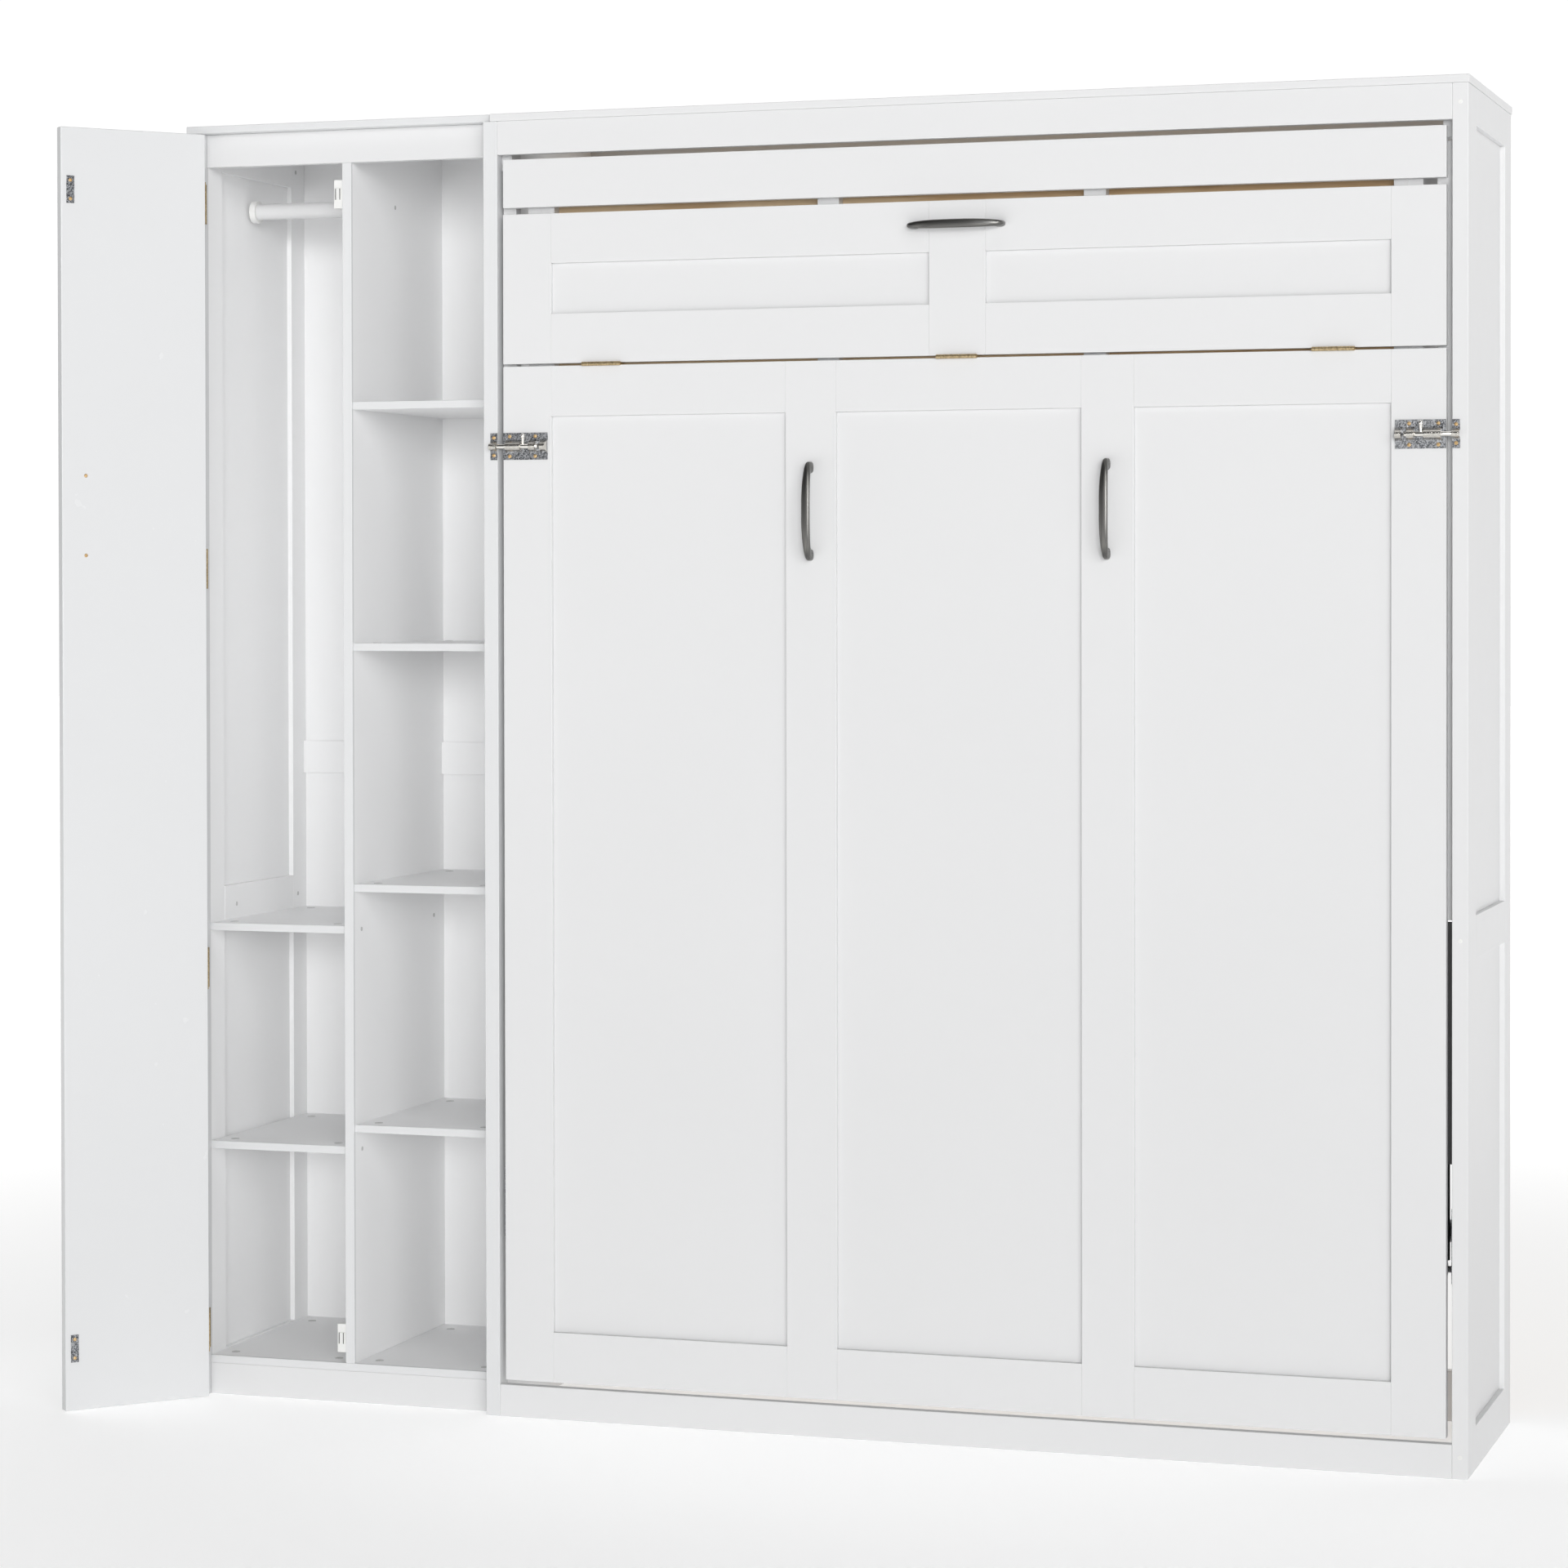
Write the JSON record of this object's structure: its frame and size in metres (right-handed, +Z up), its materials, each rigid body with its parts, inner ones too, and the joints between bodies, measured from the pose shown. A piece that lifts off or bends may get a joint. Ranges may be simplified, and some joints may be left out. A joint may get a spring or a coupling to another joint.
{
  "type": "murphy wall bed",
  "caption": "Full-size fold-down wall bed in a white cabinet, with a hinged foot leg in its front panel and a wardrobe with shelves, hanging rod and slab door on its left.",
  "frame": {"origin": "on the floor, on the wall line, under the middle of the bed cabinet (the back lower edge of its bottom back rail)", "axes": "+X to the viewer's right, +Y into the wall, +Z up"},
  "size_m": [2.2303, 0.6367, 2.08],
  "materials": {
    "painted_wood": "satin white paint on board",
    "pine": "sanded, unfinished",
    "pewter": "brushed dark pewter",
    "zinc": "zinc-plated pressed steel",
    "polished_steel": "bright nickel plate",
    "bronze": "dull tan brass plate",
    "brass": "yellow brass plate",
    "white_plastic": "moulded",
    "black_enamel": "gloss black enamel"
  },
  "bodies": {
    "cabinet": {"bed_top_board": "painted_wood", "wardrobe_top_board": "painted_wood", "right_front_post": "painted_wood", "right_side_frame": "painted_wood", "right_side_panels": "painted_wood", "middle_front_post": "painted_wood", "middle_side_frame": "painted_wood", "middle_side_panels": "painted_wood", "left_front_post": "painted_wood", "left_side_frame": "painted_wood", "left_side_panels": "painted_wood", "bed_top_front_rail": "painted_wood", "bed_bottom_front_rail": "painted_wood", "wardrobe_top_rail": "painted_wood", "wardrobe_bottom_rail": "painted_wood", "wardrobe_floor": "painted_wood", "divider": "painted_wood", "wardrobe_back": "painted_wood", "closet_rod": "painted_wood", "rod_sockets": "white_plastic", "magnetic_catches": "white_plastic", "wall_rail": "painted_wood", "bottom_back_rail": "painted_wood", "pivot_plates": "zinc", "strut_feet": "zinc", "bolt_keepers": "zinc", "corner_stops": "painted_wood", "door_frame_hinges": "bronze", "keeper_screws": "brass", "right_shelves": "painted_wood", "left_shelves": "painted_wood"},
    "bed": {"front_frame": "painted_wood", "front_insets": "painted_wood", "foot_board": "painted_wood", "left_bed_rail": "painted_wood", "right_bed_rail": "painted_wood", "bed_end_rails": "painted_wood", "slat_supports": "painted_wood", "slats": "pine", "pivot_bolts": "zinc", "strut_heads": "black_enamel", "bolt_housings": "zinc", "bolt_plate_screws": "brass", "bed_leg_hinges": "bronze", "front_pulls": "pewter"},
    "leg": {"leg_frame": "painted_wood", "leg_insets": "painted_wood", "leg_hinges": "bronze", "leg_pull": "pewter"},
    "door": {"wardrobe_door": "painted_wood", "door_hinges": "bronze", "door_strikes": "zinc", "door_screws": "brass", "door_pull": "pewter"},
    "left_bolt": {"left_bolt": "polished_steel"},
    "right_bolt": {"right_bolt": "polished_steel"},
    "left_strut": {"left_strut_tube": "black_enamel"},
    "right_strut": {"right_strut_tube": "black_enamel"},
    "left_strut_rod": {"left_strut_rod": "polished_steel"},
    "right_strut_rod": {"right_strut_rod": "polished_steel"}
  },
  "joints": [
    {"name": "bed_fold", "type": "hinge", "parent": "cabinet", "child": "bed", "pos_m": [0, -0.33, 0.3521], "axis": [1, 0, 0], "range_deg": [0, 90], "stiffness_Nm_per_rad": 210, "springref_deg": -17.19},
    {"name": "leg_fold", "type": "hinge", "parent": "bed", "child": "leg", "pos_m": [0, -0.4418, 1.679], "axis": [1, 0, 0], "range_deg": [0, 90]},
    {"name": "wardrobe_door", "type": "hinge", "parent": "cabinet", "child": "door", "pos_m": [-1.282, -0.437, 1.034], "axis": [0, 0, 1], "range_deg": [-38, 132]},
    {"name": "left_bolt_slide", "type": "slide", "parent": "bed", "child": "left_bolt", "axis": [1, 0, 0], "range_m": [0, 0.025]},
    {"name": "right_bolt_slide", "type": "slide", "parent": "bed", "child": "right_bolt", "axis": [-1, 0, 0], "range_m": [0, 0.025]},
    {"name": "left_strut_swing", "type": "hinge", "parent": "cabinet", "child": "left_strut", "pos_m": [-0.737, -0.38, 0.3021], "axis": [1, 0, 0], "range_deg": [0, 90.01]},
    {"name": "left_strut_stroke", "type": "slide", "parent": "left_strut", "child": "left_strut_rod", "axis": [0, 0, -1], "range_m": [0, 0.1002]},
    {"name": "right_strut_swing", "type": "hinge", "parent": "cabinet", "child": "right_strut", "pos_m": [0.737, -0.38, 0.3021], "axis": [1, 0, 0], "range_deg": [0, 90.01]},
    {"name": "right_strut_stroke", "type": "slide", "parent": "right_strut", "child": "right_strut_rod", "axis": [0, 0, -1], "range_m": [0, 0.1002]}
  ],
  "couplings": [
    {"joint": "left_strut_swing", "follows": "bed_fold", "ratio": 1},
    {"joint": "left_strut_stroke", "follows": "bed_fold", "m_per_rad": 0.063662},
    {"joint": "right_strut_swing", "follows": "bed_fold", "ratio": 1},
    {"joint": "right_strut_stroke", "follows": "bed_fold", "m_per_rad": 0.063662}
  ]
}
